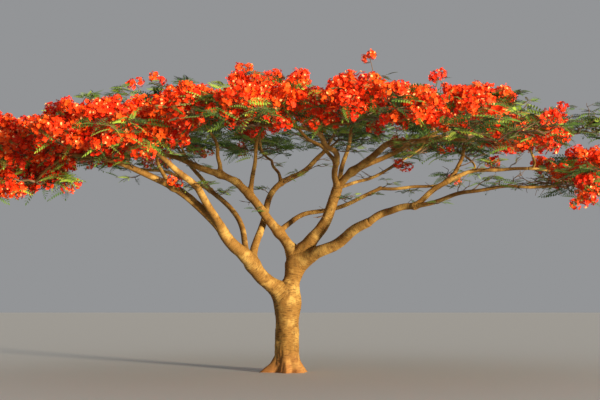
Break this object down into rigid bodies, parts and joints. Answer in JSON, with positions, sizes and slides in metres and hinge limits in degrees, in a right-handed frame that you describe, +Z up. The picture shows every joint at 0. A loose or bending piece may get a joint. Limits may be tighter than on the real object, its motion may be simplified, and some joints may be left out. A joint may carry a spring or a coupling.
{
  "type": "flame tree",
  "caption": "Wide flat-topped flowering tree on a short forked trunk, with arching boughs and masses of fine leaves and red blossom.",
  "frame": {"origin": "middle of the flat cut under the trunk, at ground level", "axes": "+X along the widest spread of the foliage, to the right in the picture; +Y to the far side; +Z up"},
  "size_m": [14.8411, 11.5003, 7.0409],
  "materials": {
    "bark": "rough tan bark with fine ridges round the limbs",
    "leaf": "soft matt fern-like leaves",
    "blossom": "soft matt petals"
  },
  "bodies": {
    "root": {"trunk": "bark", "bough_left_low": "bark", "bough_left_high": "bark", "bough_centre": "bark", "bough_right_low": "bark", "limb_left_low": "bark", "limb_left_front": "bark", "limb_left_inner": "bark", "limb_left_back": "bark", "limb_left_far": "bark", "limb_back": "bark", "limb_back_inner": "bark", "limb_left_high": "bark", "limb_left_end": "bark", "limb_left_top": "bark", "limb_top_left": "bark", "limb_right_back": "bark", "limb_right_far": "bark", "limb_front": "bark", "limb_front_inner": "bark", "limb_front_right": "bark", "limb_right_high": "bark", "limb_top_right": "bark", "limb_right_inner": "bark", "limb_right_thin": "bark", "limb_right_low": "bark", "limb_right_rising": "bark", "limb_right_end": "bark", "limb_right_droop": "bark", "foliage_front_1": "blossom", "foliage_front_2": "blossom", "foliage_front_3": "blossom", "foliage_front_4": "leaf", "foliage_fore_1": "blossom", "foliage_fore_2": "blossom", "foliage_fore_3": "blossom", "foliage_fore_4": "blossom", "foliage_fore_5": "blossom", "foliage_fore_6": "blossom", "foliage_middle_1": "blossom", "foliage_middle_2": "leaf", "foliage_middle_3": "leaf", "foliage_middle_4": "blossom", "foliage_middle_5": "blossom", "foliage_middle_6": "blossom", "foliage_middle_7": "blossom", "foliage_rear_1": "leaf", "foliage_rear_2": "leaf", "foliage_rear_3": "blossom", "foliage_rear_4": "blossom", "foliage_rear_5": "leaf", "foliage_rear_6": "leaf", "foliage_right_tip": "leaf", "foliage_back_1": "leaf", "foliage_back_2": "leaf", "foliage_back_3": "leaf", "foliage_back_4": "leaf", "foliage_left_droop": "blossom", "foliage_right_droop": "leaf"}
  },
  "joints": []
}
